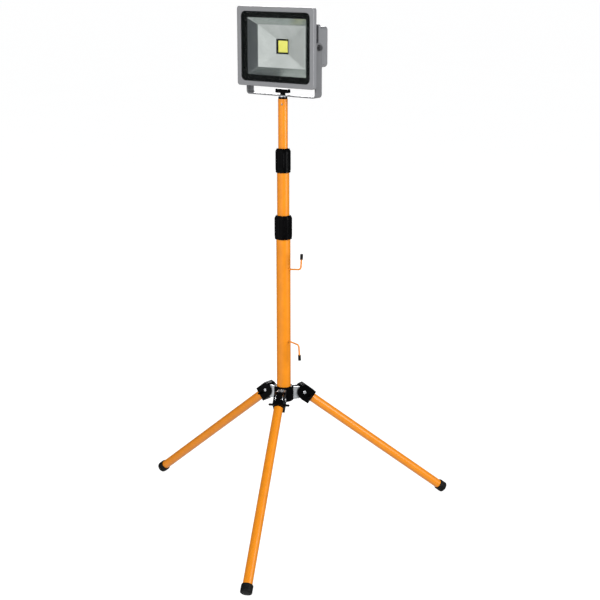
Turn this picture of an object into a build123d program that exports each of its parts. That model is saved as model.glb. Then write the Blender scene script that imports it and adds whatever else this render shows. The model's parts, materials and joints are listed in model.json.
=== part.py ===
from build123d import *
import os

# LED floodlight on a three-section telescopic tripod stand, in millimetres.
# The mast axis is the Z axis, the feet stand on z = 0 and the lamp faces -Y.

# ---- driving dimensions: mast ----
TUBE_WALL = 1.2
LOWER_R = 17.0
MIDDLE_R = 14.5
UPPER_R = 11.25
FIT = 0.05                  # radial clearance of a running fit
GAP = 0.3                   # clearance between pieces that move past each other

HUB_BOTTOM = 305.5
HUB_TOP = 342.0
HUB_FLOOR = 4.0
LOWER_TUBE_TOP = 742.0
MIDDLE_TUBE_BOTTOM = 410.0
MIDDLE_TUBE_TOP = 901.0
UPPER_TUBE_BOTTOM = 540.5
UPPER_TUBE_TOP = 1040.5
BUSH_HEIGHT = 50.0

LOWER_LOCK_BOTTOM = 710.0
LOWER_LOCK_R = 21.0
UPPER_LOCK_BOTTOM = 869.0
UPPER_LOCK_R = 18.0
LOCK_HEIGHT = 57.0
LOCK_BASE_RING = 6.0
LOCK_WALL = 1.5
MOUTH_TAPER = (3.6, 7.0)    # the twist sleeve's tapered mouth: inwards, upwards
COLLET_HEIGHT = 17.0

# ---- driving dimensions: tripod ----
LEG_AZIMUTHS = {"front": -64.3, "right": 55.7, "left": 175.7}
LEG_SPLAY = 38.65           # below horizontal, with the stand open
PIVOT_R = 49.5
PIVOT_Z = 322.5
LEG_R = 11.0
LEG_END = 502.5             # from the pivot to the end of the foot cap
FOOT_R = 13.75
FOOT_LENGTH = 20.0
EAR_MID = 8.6               # bracket ear's middle, each side of the leg axis
EAR_THICK = 2.0
EAR_R = 12.8
BRACKET_HALF_HEIGHT = 15.5
WEB_R = 21.5                # mast axis to the bracket's back face
SOCKET_HALF_WIDTH = 13.0
SOCKET_END = 25.5
SOCKET_TOP = 16.8
SOCKET_BOTTOM = -18.6
SOCKET_NOSE_R = 18.0
SLOT_HALF = 1.4
TUBE_START = 16.5
SPIGOT_END = 62.0
PIN_R = 3.0
LOCK_BAR_R = 2.8
LOCK_BAR_AT = 16.0
LOCK_BAR_TRAVEL = 4.2
LOCK_BAR_LENGTH = 51.8
SPRING_END = 48.0
SPRING_BORE_R = 4.2

# ---- driving dimensions: cable hooks ----
HOOKS = {
    "upper_hook": {"azimuth": 3.0, "z": 636.5, "turn": 1},
    "lower_hook": {"azimuth": -6.0, "z": 459.0, "turn": -1},
}
HOOK_WIRE_R = 2.0
HOOK_REACH = 35.0
HOOK_RISE = 42.3
HOOK_BEND_R = 8.0
HOOK_SLOPE = 4.0
HOOK_LEAN = 2.6             # how far the upright leans out over its height
HOOK_CAP_R = 3.5
HOOK_CAP_LENGTH = 13.5
HOOK_CAP_END = 1.5          # rubber beyond the wire's end

# ---- driving dimensions: yoke and clamp ----
TILT_Z = 1160.0
TILT_Y = 3.0                # the yoke stands a little behind the mast axis
YOKE_BAR_Z = 1047.0
YOKE_THICK = 3.0
YOKE_WIDTH = 24.0
YOKE_HALF_SPAN = 99.4
YOKE_BEND_R = 8.0
PLUG_FLANGE_R = 10.5
PLUG_FLANGE = 4.5
PLUG_DEPTH = 30.0
STUD_R = 4.0
KNOB_STEM_R = 6.25
KNOB_STEM = 4.2
KNOB_HEAD = (37.0, 10.0, 9.0)

# ---- driving dimensions: lamp head ----
HEAD_Z = 1159.0
FRONT_Y = -31.0
BEZEL = (217.5, 11.0, 180.0)
BEZEL_RIM = 11.1
BEZEL_WALL = 3.0
BEZEL_CORNER = 6.5
SCREW_INSET = 4.8             # bezel screws, in from the skirt's inner faces
GLASS_RECESS = 3.0
GLASS_THICK = 4.0
BORDER = 14.2
GLASS_LAP = 3.2
GLASS_CORNER = 12.0
REFLECTOR_SHEET = 0.8
REFLECTOR_WALL = 16.0
REFLECTOR_WALL_DEPTH = 18.0
REFLECTOR_DEPTH = 22.4
LED_OPENING = 34.0
LED_NECK = 3.0              # the reflector's square neck, down to the board
LED_SIZE = 33.2
BOARD_THICK = 1.6
HOUSING_HALF = (88.0, 70.0)
HOUSING_WALL = 3.0
HOUSING_FLOOR = 4.0
TILT_BOSS_R = 9.0
FIN_THICK = 2.5
FIN_PITCH = 10.0
FIN_COUNT = 15
FIN_BACK_Y = 21.0
DRIVER_BASE = (190.0, 10.0, 102.0)
DRIVER_COVER = (186.0, 30.5, 92.0)
DRIVER_Z = 1161.0
COVER_Z = 1160.0
DRIVER_WALL = 2.5
SEAL_THICK = 0.8


def save(name, shape):
    """Write one named piece, or one group of equal pieces, to its STEP file."""
    shape.label = name
    export_step(shape, f"parts/{name}.step")


def ring(outer_r, inner_r, bottom, height):
    """A plain round tube or washer standing on the mast axis."""
    body = Cylinder(outer_r, height, align=(Align.CENTER, Align.CENTER, Align.MIN))
    bore = Cylinder(inner_r, height * 3)
    return Pos(0, 0, bottom) * (body - bore)


def disc(radius, bottom, height):
    """A solid cylinder standing on the mast axis."""
    body = Cylinder(radius, height, align=(Align.CENTER, Align.CENTER, Align.MIN))
    return Pos(0, 0, bottom) * body


def rod(radius, start, end):
    """A straight round bar between two points."""
    path = Line(start, end)
    return extrude(Plane(origin=start, z_dir=path % 0) * Circle(radius), path.length)


def block(low, high):
    """A box from its lowest to its highest corner."""
    size = [b - a for a, b in zip(low, high)]
    middle = [(a + b) / 2 for a, b in zip(low, high)]
    return Pos(*middle) * Box(*size)


def plate_y(width, height, corner, front_y, depth, mid_z=HEAD_Z):
    """A plate that faces -Y, with rounded corners, from front_y back by depth."""
    face = Plane(origin=(0, front_y, mid_z), x_dir=(1, 0, 0), z_dir=(0, 1, 0))
    return extrude(face * RectangleRounded(width, height, corner), depth)


def fuse(shapes):
    """All the given shapes as one solid."""
    first, *rest = shapes
    return first.fuse(*rest).clean() if rest else first


# ---- mast ----
def lower_tube():
    return ring(LOWER_R, LOWER_R - TUBE_WALL, HUB_BOTTOM + HUB_FLOOR,
                LOWER_TUBE_TOP - HUB_BOTTOM - HUB_FLOOR)


def middle_tube():
    return ring(MIDDLE_R, MIDDLE_R - TUBE_WALL, MIDDLE_TUBE_BOTTOM,
                MIDDLE_TUBE_TOP - MIDDLE_TUBE_BOTTOM)


def upper_tube():
    tube = ring(UPPER_R, UPPER_R - TUBE_WALL, UPPER_TUBE_BOTTOM,
                UPPER_TUBE_TOP - UPPER_TUBE_BOTTOM)
    return tube - plug_rivet()


def guide_bush(tube_r, outer_tube_r, bottom):
    """The plastic sleeve on a sliding tube's foot, which runs in the tube outside it."""
    bush = ring(outer_tube_r - TUBE_WALL - FIT, tube_r, bottom, BUSH_HEIGHT)
    return chamfer(bush.edges().filter_by(GeomType.CIRCLE).group_by(Axis.Z)[-1][-1:], 0.8)


def lock_base(outer_r, tube_r, bottom, tube_top):
    """The moulded seat on a tube's mouth that a twist sleeve turns on."""
    flange = ring(outer_r - 0.5, tube_r, bottom, LOCK_BASE_RING)
    neck_r = outer_r - LOCK_WALL - GAP
    neck = ring(neck_r, tube_r, bottom, tube_top - bottom)
    return chamfer(fuse([flange, neck]).edges().group_by(Axis.Z)[0], 0.6)


def lock_sleeve(outer_r, inner_tube_r, bottom, tube_top):
    """The twist sleeve: ribbed grip, conical inside over the collet, chamfered mouth."""
    low = bottom + LOCK_BASE_RING + GAP
    top = bottom + LOCK_HEIGHT
    sleeve = disc(outer_r, low, top - low)
    mouth = Cone(outer_r, outer_r - MOUTH_TAPER[0], MOUTH_TAPER[1],
                 align=(Align.CENTER, Align.CENTER, Align.MIN))
    sleeve -= disc(outer_r + 1, top - MOUTH_TAPER[1], 2 * MOUTH_TAPER[1])
    sleeve = fuse([sleeve, Pos(0, 0, top - MOUTH_TAPER[1]) * mouth])
    sleeve -= disc(outer_r - LOCK_WALL, low - 1, tube_top + 1.2 - low)
    cone_height = top - 4.0 - tube_top - 0.2
    cone = Cone(outer_r - LOCK_WALL, inner_tube_r + 2.9, cone_height,
                align=(Align.CENTER, Align.CENTER, Align.MIN))
    sleeve -= Pos(0, 0, tube_top + 0.2) * cone
    sleeve -= disc(inner_tube_r + GAP, low, 2 * LOCK_HEIGHT)
    groove = Pos(outer_r + 1.7, 0, 0) * Cylinder(2.5, 36.0)
    groove = Pos(0, 0, low + 24.0) * groove
    for index in range(12):
        sleeve -= Rot(0, 0, 15 + 30 * index) * groove
    return sleeve


def collet(outer_r, inner_tube_r, tube_top):
    """The split plastic cone that the sleeve squeezes on the inner tube."""
    bottom_r = min(inner_tube_r + 3.2, outer_r - LOCK_WALL - 1.0)
    cone = Cone(bottom_r, inner_tube_r + 1.7, COLLET_HEIGHT - 2,
                align=(Align.CENTER, Align.CENTER, Align.MIN))
    body = Pos(0, 0, tube_top) * cone
    body -= disc(inner_tube_r + FIT, tube_top - 1, COLLET_HEIGHT + 2)
    slit = block((0, -0.8, tube_top - 1), (outer_r + 5, 0.8, tube_top + COLLET_HEIGHT))
    return body - slit


# ---- cable hooks ----
def hook_path(turn):
    """Centre line of a hook at azimuth 0 and root height 0, turned up (1) or down (-1)."""
    root = (LOWER_R - 1.5, 0, 0)
    corner = (LOWER_R + HOOK_REACH - HOOK_LEAN, 0, turn * HOOK_SLOPE)
    tip = (LOWER_R + HOOK_REACH, 0, turn * (HOOK_RISE - HOOK_CAP_END))
    return FilletPolyline(root, corner, tip, radius=HOOK_BEND_R)


def hook_place(spec):
    return Rot(0, 0, spec["azimuth"]) * Pos(0, 0, spec["z"])


def cable_hook(spec):
    path = hook_path(spec["turn"])
    start = Plane(origin=path @ 0, z_dir=path % 0)
    wire = sweep(start * Circle(HOOK_WIRE_R), path=path)
    return hook_place(spec) * wire - disc(LOWER_R, HUB_TOP, LOWER_LOCK_BOTTOM - HUB_TOP)


def hook_cap(spec):
    """The rubber cap on a hook's tip."""
    path = hook_path(spec["turn"])
    wire_end = Plane(origin=path @ 1, z_dir=path % 1)
    cap = Pos(0, 0, HOOK_CAP_END - HOOK_CAP_LENGTH / 2) * Cylinder(HOOK_CAP_R, HOOK_CAP_LENGTH)
    cap = fillet(cap.edges().group_by(Axis.Z)[-1], 1.2)
    cap -= Pos(0, 0, -HOOK_CAP_LENGTH / 2) * Cylinder(HOOK_WIRE_R, HOOK_CAP_LENGTH)
    return hook_place(spec) * wire_end.location * cap


# ---- tripod hub ----
def hub_screw_places():
    """Each bracket's two screws, as azimuth and height."""
    return [(azimuth, PIVOT_Z + dz) for azimuth in LEG_AZIMUTHS.values() for dz in (-8, 8)]


def bracket_screw(azimuth, height):
    head = Cylinder(3.4, 2.0)
    head = fillet(head.edges().group_by(Axis.Z)[-1], 1.2)
    recess = Box(0.9, 4.4, 1.2) + Box(4.4, 0.9, 1.2)
    head -= Pos(0, 0, 0.8) * recess
    shank = Pos(0, 0, -3.2) * Cylinder(1.75, 4.4)
    place = Rot(0, 0, azimuth) * Pos(WEB_R + EAR_THICK + 1.0, 0, height) * Rot(0, 90, 0)
    return place * fuse([head, shank])


def hub_collar():
    """The moulded hub that the lower tube stands in, with a flat for each bracket."""
    body = disc(24.0, HUB_BOTTOM, HUB_TOP - HUB_BOTTOM)
    body = fillet(body.edges().group_by(Axis.Z)[0], 3.0)
    body = chamfer(body.edges().group_by(Axis.Z)[-1], length=3.0, length2=2.6)
    flat_half = EAR_MID + EAR_THICK / 2 + 0.4
    for azimuth in LEG_AZIMUTHS.values():
        flat = block((WEB_R, -flat_half, HUB_BOTTOM - 1),
                     (WEB_R + 10, flat_half, PIVOT_Z + BRACKET_HALF_HEIGHT + 0.5))
        body -= Rot(0, 0, azimuth) * flat
    body -= disc(LOWER_R, HUB_BOTTOM + HUB_FLOOR, HUB_TOP)
    for azimuth, height in hub_screw_places():
        body -= bracket_screw(azimuth, height)
    return body


def leg_bracket(azimuth):
    """A zinc-plated U bracket: a web on the hub and two ears out to the leg's pin."""
    web = block((WEB_R, -EAR_MID - EAR_THICK / 2, -BRACKET_HALF_HEIGHT),
                (WEB_R + EAR_THICK, EAR_MID + EAR_THICK / 2, BRACKET_HALF_HEIGHT))
    straight_end = PIVOT_R - 6.0
    side = Plane(origin=(0, EAR_MID - EAR_THICK / 2, 0), x_dir=(1, 0, 0), z_dir=(0, -1, 0))
    outline = Polyline(
        (WEB_R, -BRACKET_HALF_HEIGHT),
        (straight_end - 8, -BRACKET_HALF_HEIGHT),
        (straight_end, -EAR_R),
        (PIVOT_R, -EAR_R),
        (PIVOT_R, EAR_R),
        (straight_end, EAR_R),
        (straight_end - 8, BRACKET_HALF_HEIGHT),
        (WEB_R, BRACKET_HALF_HEIGHT),
        close=True,
    )
    ear_face = make_face(outline) + Pos(PIVOT_R, 0) * Circle(EAR_R) - Pos(PIVOT_R, 0) * Circle(PIN_R)
    ear = extrude(side * ear_face, -EAR_THICK)
    bracket = fuse([web, ear, ear.mirror(Plane.XZ)])
    bracket = Rot(0, 0, azimuth) * Pos(0, 0, PIVOT_Z) * bracket
    for screw_azimuth, height in hub_screw_places():
        if screw_azimuth == azimuth:
            bracket -= bracket_screw(screw_azimuth, height)
    return bracket


def pivot_pin(azimuth):
    """A round-headed pin through the leg socket and the bracket's ears."""
    half = SOCKET_HALF_WIDTH + GAP
    shank = Rot(90, 0, 0) * Cylinder(PIN_R, 2 * half + 1.0)
    head = Cylinder(4.2, 1.6)
    head = fillet(head.edges().group_by(Axis.Z)[-1], 1.2)
    near = Pos(0, -half - 0.8, 0) * Rot(90, 0, 0) * head
    far = Pos(0, half + 0.8, 0) * Rot(-90, 0, 0) * head
    return Rot(0, 0, azimuth) * Pos(PIVOT_R, 0, PIVOT_Z) * fuse([shank, near, far])


# ---- legs: drawn along +X from the pivot, then tilted down and turned to their azimuth ----
def leg_place(azimuth):
    return Rot(0, 0, azimuth) * Pos(PIVOT_R, 0, PIVOT_Z) * Rot(0, LEG_SPLAY, 0)


def along_leg(radius, start, end):
    return rod(radius, (start, 0, 0), (end, 0, 0))


def lock_bar_slot(reach):
    """The slot that the lock bar slides in, through everything it crosses."""
    height = LOCK_BAR_R + GAP
    inner = LOCK_BAR_AT - LOCK_BAR_R - GAP
    outer = LOCK_BAR_AT + LOCK_BAR_TRAVEL
    straight = block((inner, -reach, -height), (outer, reach, height))
    end = Pos(outer, 0, 0) * Rot(90, 0, 0) * Cylinder(height, 2 * reach)
    return straight + end


def leg_socket():
    """The moulded leg end: two cheeks and a tongue astride the ears, a spigot in the tube."""
    face = Plane(origin=(0, SOCKET_HALF_WIDTH, 0), x_dir=(1, 0, 0), z_dir=(0, -1, 0))
    square = make_face(Polyline(
        (-10.5, SOCKET_TOP),
        (-15.5, 9.5),
        (-15.5, -8.0),
        (6.0, SOCKET_BOTTOM - 0.6),
        (SOCKET_END, SOCKET_BOTTOM),
        (SOCKET_END, SOCKET_TOP),
        close=True,
    ))
    nose = Circle(SOCKET_NOSE_R) - Pos(0, SOCKET_TOP + 10) * Rectangle(60, 20)
    shell = extrude(face * (square + nose), 2 * SOCKET_HALF_WIDTH)
    for side in (-1, 1):
        slot_mid = side * EAR_MID
        low = (-30, slot_mid - SLOT_HALF, -30)
        high = (TUBE_START, slot_mid + SLOT_HALF, 30)
        shell -= block(low, high)
    outer_tube = along_leg(LEG_R, TUBE_START, SOCKET_END + 1)
    spigot = along_leg(LEG_R - TUBE_WALL, TUBE_START, SPIGOT_END)
    body = fuse([shell - outer_tube, spigot])
    body -= lock_bar_slot(30)
    body -= along_leg(SPRING_BORE_R, LOCK_BAR_AT, SPRING_END)
    return body - Rot(90, 0, 0) * Cylinder(PIN_R + FIT, 60)


def leg_tube():
    tube = along_leg(LEG_R, TUBE_START, LEG_END - 3.0)
    tube -= along_leg(LEG_R - TUBE_WALL, 0, LEG_END)
    return tube - lock_bar_slot(30)


def foot_cap(azimuth):
    """A rubber cup on the tube's end, with its lowest edge worn flat where it stands."""
    cap = along_leg(FOOT_R, LEG_END - FOOT_LENGTH, LEG_END)
    cap = fillet(cap.edges().group_by(Axis.X)[-1], 2.0)
    cap = chamfer(cap.edges().group_by(Axis.X)[0], 0.8)
    cap -= along_leg(LEG_R, 0, LEG_END - 3.0)
    floor = block((-600, -600, -60), (600, 600, 0))
    return leg_place(azimuth) * cap - floor


def lock_bar():
    """The cross bar with round ends that is pulled out to free the leg."""
    bar = Rot(90, 0, 0) * Cylinder(LOCK_BAR_R, LOCK_BAR_LENGTH)
    bar = fillet(bar.edges(), LOCK_BAR_R - 0.2)
    return Pos(LOCK_BAR_AT, 0, 0) * bar


def lock_spring():
    """The compression spring between the lock bar and the spigot's bore end."""
    wire_r = 0.5
    coil_r = 3.4
    start = LOCK_BAR_AT + LOCK_BAR_R + wire_r + 0.2
    length = SPRING_END - start - wire_r - 0.2
    coil = Helix(pitch=length / 7, height=length, radius=coil_r)
    wire = sweep(Plane(origin=coil @ 0, z_dir=coil % 0) * Circle(wire_r), path=coil)
    return Pos(start, 0, 0) * Rot(0, 90, 0) * wire


# ---- mast head: plug, clamp knob and yoke ----
def top_plug():
    """The plastic plug in the mast's mouth, with a pocket for the clamp nut."""
    body = disc(UPPER_R - TUBE_WALL, UPPER_TUBE_TOP - PLUG_DEPTH, PLUG_DEPTH)
    flange = disc(PLUG_FLANGE_R, UPPER_TUBE_TOP, PLUG_FLANGE)
    plug = chamfer(fuse([body, flange]).edges().group_by(Axis.Z)[-1], 0.5)
    plug -= disc(STUD_R + 0.5, UPPER_TUBE_TOP - 2 * PLUG_DEPTH, 3 * PLUG_DEPTH)
    return plug - nut_prism() - plug_rivet()


def nut_prism():
    nut_height = 6.5
    face = Plane.XY.offset(UPPER_TUBE_TOP - PLUG_DEPTH)
    return extrude(face * RegularPolygon(6.5, 6, major_radius=False), nut_height)


def clamp_nut():
    return nut_prism() - disc(STUD_R, 0, 2 * UPPER_TUBE_TOP)


def plug_rivet():
    """The rivet that holds the plug, on the front side of the mast."""
    reach = UPPER_R + 0.6
    shank = Rot(0, 90, 0) * Cylinder(1.4, 5.0)
    head = Cylinder(2.1, 1.2)
    head = Rot(0, 90, 0) * fillet(head.edges().group_by(Axis.Z)[-1], 0.7)
    rivet = fuse([Pos(reach - 3.0, 0, 0) * shank, Pos(reach - 0.6, 0, 0) * head])
    return Rot(0, 0, LEG_AZIMUTHS["front"]) * Pos(0, 0, UPPER_TUBE_TOP - 12.0) * rivet


def tilt_rod(radius, start_x, end_x):
    """A round bar on the tilt axis."""
    return rod(radius, (start_x, TILT_Y, TILT_Z), (end_x, TILT_Y, TILT_Z))


def yoke():
    """The U strap: a bar over the mast and two arms up to the tilt bolts."""
    half = YOKE_HALF_SPAN
    height = TILT_Z - YOKE_BAR_Z
    back = TILT_Y + YOKE_WIDTH / 2
    front = Plane(origin=(0, back, YOKE_BAR_Z), x_dir=(1, 0, 0), z_dir=(0, -1, 0))
    outer = FilletPolyline((-half, height), (-half, 0), (half, 0), (half, height),
                           radius=YOKE_BEND_R)
    inner_half = half - YOKE_THICK
    inner = FilletPolyline((-inner_half, height), (-inner_half, YOKE_THICK),
                           (inner_half, YOKE_THICK), (inner_half, height),
                           radius=YOKE_BEND_R - YOKE_THICK)
    left = Line(outer @ 0, inner @ 0)
    right = Line(outer @ 1, inner @ 1)
    strap = extrude(front * make_face([outer, inner, left, right]), YOKE_WIDTH)
    arm_end = Rot(0, 90, 0) * Cylinder(YOKE_WIDTH / 2, YOKE_THICK)
    ends = [Pos(side * (half - YOKE_THICK / 2), TILT_Y, TILT_Z) * arm_end for side in (-1, 1)]
    body = fuse([strap, *ends])
    body -= tilt_rod(STUD_R, -2 * half, 2 * half)
    return body - disc(STUD_R, YOKE_BAR_Z - 5, 15)


def yoke_washer():
    return ring(9.25, STUD_R + 0.3, YOKE_BAR_Z - 1.85, 1.85)


def clamp_knob():
    """The moulded T knob over the yoke bar."""
    low = YOKE_BAR_Z + YOKE_THICK + 0.15
    stem = disc(KNOB_STEM_R, low, KNOB_STEM)
    width, depth, height = KNOB_HEAD
    wing = extrude(Plane.XY.offset(low + KNOB_STEM) * SlotOverall(width, depth), height)
    wing = fillet(wing.edges().group_by(Axis.Z)[-1], 2.0)
    skirt = Pos(0, 0, low + KNOB_STEM - 1.6) * Cone(
        KNOB_STEM_R - 0.6, KNOB_STEM_R + 1.4, 3.2, align=(Align.CENTER, Align.CENTER, Align.MIN))
    return fuse([stem, skirt, wing]) - clamp_stud()


def clamp_stud():
    low = UPPER_TUBE_TOP - PLUG_DEPTH - 2.0
    high = YOKE_BAR_Z + YOKE_THICK + KNOB_STEM + 3.0
    return disc(STUD_R - FIT, low, high - low)


# ---- lamp head ----
GLASS_Y = FRONT_Y + GLASS_RECESS
GLASS_BACK = GLASS_Y + GLASS_THICK
SEAT_Y = GLASS_BACK + 1.0
BEZEL_BACK = FRONT_Y + BEZEL[1]
OPENING = (BEZEL[0] - 2 * BEZEL_RIM, BEZEL[2] - 2 * BEZEL_RIM)
WINDOW = (OPENING[0] - 2 * BORDER, OPENING[1] - 2 * BORDER)
INNER = (BEZEL[0] - 2 * BEZEL_WALL, BEZEL[2] - 2 * BEZEL_WALL)
REFLECTOR_Y = SEAT_Y - REFLECTOR_SHEET
BOARD_Y = REFLECTOR_Y + REFLECTOR_DEPTH + LED_NECK
HOUSING_BACK = BOARD_Y + BOARD_THICK + HOUSING_FLOOR
BASE_BACK = HOUSING_BACK + DRIVER_BASE[1]
GLASS = (OPENING[0] + 2 * GLASS_LAP, OPENING[1] + 2 * GLASS_LAP)
CORNER_SCREW = (INNER[0] / 2 - SCREW_INSET, INNER[1] / 2 - SCREW_INSET)
LED_SCREW = (19.5, 19.5)


def corner_places(half_x, half_z, mid_z=HEAD_Z):
    return [(x, mid_z + z) for x in (-half_x, half_x) for z in (-half_z, half_z)]


def screw_y(place, tip_y, seat_y, shank_r, head_r):
    """A pan-head screw that goes in from the back, along -Y, with a cross recess."""
    x, z = place
    shank = rod(shank_r, (x, tip_y, z), (x, seat_y, z))
    head = Cylinder(head_r, 2.0)
    head = fillet(head.edges().group_by(Axis.Z)[-1], 1.0)
    head -= Pos(0, 0, 0.8) * (Box(0.8, head_r * 1.3, 1.0) + Box(head_r * 1.3, 0.8, 1.0))
    return fuse([shank, Pos(x, seat_y + 1.0, z) * Rot(-90, 0, 0) * head])


def bezel_screws():
    return [screw_y(place, BEZEL_BACK - 7.0, BEZEL_BACK, 1.6, 2.9)
            for place in corner_places(*CORNER_SCREW)]


def front_bezel():
    """The cast front frame: a flat rim, a deep skirt and four screw bosses."""
    width, depth, height = BEZEL
    body = plate_y(width, height, BEZEL_CORNER, FRONT_Y, depth)
    body -= plate_y(*OPENING, GLASS_CORNER, FRONT_Y - 1, depth + 2)
    body = fillet(body.edges().group_by(Axis.Y)[0], 1.2)
    body -= plate_y(*INNER, 4.0, GLASS_Y, depth)
    bosses = [rod(3.4, (x, GLASS_Y, z), (x, SEAT_Y, z)) for x, z in corner_places(*CORNER_SCREW)]
    body = fuse([body, *bosses])
    for screw in bezel_screws():
        body -= screw
    return body


def front_glass():
    return plate_y(*GLASS, GLASS_CORNER, GLASS_Y, GLASS_THICK)


def glass_gasket():
    outer = plate_y(*GLASS, GLASS_CORNER, GLASS_BACK, SEAT_Y - GLASS_BACK)
    return outer - plate_y(*OPENING, GLASS_CORNER, GLASS_BACK - 1, 5)


def frustum_y(front_size, back_size, front_y, back_y):
    """A four-sided taper between two rectangles that face -Y."""
    front = Plane(origin=(0, front_y, HEAD_Z), x_dir=(1, 0, 0), z_dir=(0, 1, 0))
    back = Plane(origin=(0, back_y, HEAD_Z), x_dir=(1, 0, 0), z_dir=(0, 1, 0))
    return loft([front * Rectangle(*front_size), back * Rectangle(*back_size)], ruled=True)


def reflector():
    """The pressed bright reflector: a flange, steep outer walls and a shallow pyramid."""
    step = (WINDOW[0] - 2 * REFLECTOR_WALL, WINDOW[1] - 2 * REFLECTOR_WALL)
    led = (LED_OPENING, LED_OPENING)
    step_y = REFLECTOR_Y + REFLECTOR_WALL_DEPTH
    led_y = REFLECTOR_Y + REFLECTOR_DEPTH
    sheet = REFLECTOR_SHEET
    grow = [(a + 2 * sheet, b + 2 * sheet) for a, b in (WINDOW, step)]
    neck = (LED_OPENING + 2 * sheet, LED_OPENING + 2 * sheet)
    flange = plate_y(OPENING[0] - 1, OPENING[1] - 1, 11.0, REFLECTOR_Y, sheet)
    outside = fuse([
        flange,
        frustum_y(grow[0], grow[1], REFLECTOR_Y, step_y + sheet),
        frustum_y(grow[1], neck, step_y + sheet, led_y + sheet),
        frustum_y(neck, neck, led_y + sheet, BOARD_Y),
    ])
    inside = fuse([
        frustum_y(WINDOW, step, REFLECTOR_Y, step_y),
        frustum_y(step, led, step_y, led_y),
        frustum_y(led, led, led_y, BOARD_Y + sheet),
    ])
    return outside - inside


def led_board():
    board = plate_y(46.0, 46.0, 2.0, BOARD_Y, BOARD_THICK)
    for screw in led_screws():
        board -= screw
    return board


def led_emitter():
    return plate_y(LED_SIZE, LED_SIZE, 1.0, BOARD_Y - 0.9, 0.9)


def led_screws():
    """The four small screws that hold the board, with heads sunk flush into it."""
    screws = []
    for x, z in corner_places(*LED_SCREW):
        shank = rod(1.5, (x, BOARD_Y + 0.2, z), (x, BOARD_Y + 5.0, z))
        head = rod(2.7, (x, BOARD_Y + 0.1, z), (x, BOARD_Y + 1.2, z))
        screws.append(fuse([shank, head]))
    return screws


def housing():
    """The cast heat sink: flange, walls, LED pad, vertical fins and tilt bosses."""
    half_x, half_z = HOUSING_HALF
    flange = plate_y(INNER[0] - 0.6, INNER[1] - 0.6, 3.6, SEAT_Y, BEZEL_BACK - SEAT_Y)
    walls = plate_y(2 * half_x, 2 * half_z, 8.0, SEAT_Y, HOUSING_BACK - SEAT_Y)
    fin_tip = half_z + 8.5
    fins = []
    for index in range(FIN_COUNT):
        x = (index - (FIN_COUNT - 1) / 2) * FIN_PITCH
        low_x, high_x = x - FIN_THICK / 2, x + FIN_THICK / 2
        top = DRIVER_Z + DRIVER_BASE[2] / 2 + 2.5
        bottom = DRIVER_Z - DRIVER_BASE[2] / 2 - 2.5
        for low_z, high_z in ((top, HEAD_Z + fin_tip), (HEAD_Z - fin_tip, bottom)):
            fins.append(block((low_x, BEZEL_BACK + 4, low_z), (high_x, FIN_BACK_Y, high_z)))
    boss_length = YOKE_HALF_SPAN - YOKE_THICK - 0.3
    boss = tilt_rod(TILT_BOSS_R, -boss_length, boss_length)
    boss -= block((-boss_length, HOUSING_BACK, TILT_Z - 2 * TILT_BOSS_R),
                  (boss_length, HOUSING_BACK + 2 * TILT_BOSS_R, TILT_Z + 2 * TILT_BOSS_R))
    body = fuse([flange, walls, boss, *fins])
    cavity_depth = BOARD_Y + BOARD_THICK - SEAT_Y
    cavity = plate_y(WINDOW[0] + 3, WINDOW[1] + 3, 3.0, SEAT_Y - 1, cavity_depth + 1)
    body -= cavity
    body -= rod(6.0, (0, BOARD_Y, HEAD_Z + 40), (0, HOUSING_BACK + 5, HEAD_Z + 40))
    for side in (-1, 1):
        body -= tilt_rod(STUD_R - FIT, side * (half_x - 1.0), side * YOKE_HALF_SPAN)
    for cutter in [*led_screws(), *bezel_screws(), *driver_screws()]:
        body -= cutter
    return body


def tilt_bolts():
    bolts = []
    for side in (-1, 1):
        face_x = YOKE_HALF_SPAN + 1.5
        start = HOUSING_HALF[0] - 1.0
        shank = tilt_rod(STUD_R - FIT, side * start, side * face_x)
        plane = Plane(origin=(side * face_x, TILT_Y, TILT_Z), x_dir=(0, 1, 0), z_dir=(side, 0, 0))
        head = extrude(plane * RegularPolygon(5.5, 6, major_radius=False), 4.5)
        bolts.append(fuse([shank, head]))
    return bolts


def tilt_washers():
    low = YOKE_HALF_SPAN + 0.15
    high = YOKE_HALF_SPAN + 1.5
    washers = []
    for side in (-1, 1):
        washer = tilt_rod(7.5, side * low, side * high)
        washers.append(washer - tilt_rod(STUD_R - FIT, side * (low - 1), side * (high + 1)))
    return washers


def driver_base():
    """The frame of the driver box, screwed to the back of the heat sink."""
    width, depth, height = DRIVER_BASE
    frame = plate_y(width, height, 7.0, HOUSING_BACK, depth, DRIVER_Z)
    frame = fillet(frame.edges().group_by(Axis.Y)[-1], 1.5)
    pocket = plate_y(width - 10, height - 14, 4.0, HOUSING_BACK + 3.0, depth, DRIVER_Z)
    frame -= pocket
    frame -= rod(6.0, (0, HOUSING_BACK - 1, HEAD_Z + 25), (0, HOUSING_BACK + 9, HEAD_Z + 25))
    for screw in driver_screws():
        frame -= screw
    return frame


def driver_gasket():
    width, _, height = DRIVER_COVER
    seal = plate_y(width - 1.0, height - 1.0, 6.0, BASE_BACK, SEAL_THICK, COVER_Z)
    return seal - plate_y(width - 8.0, height - 8.0, 4.0, BASE_BACK - 1, 3, COVER_Z)


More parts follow.
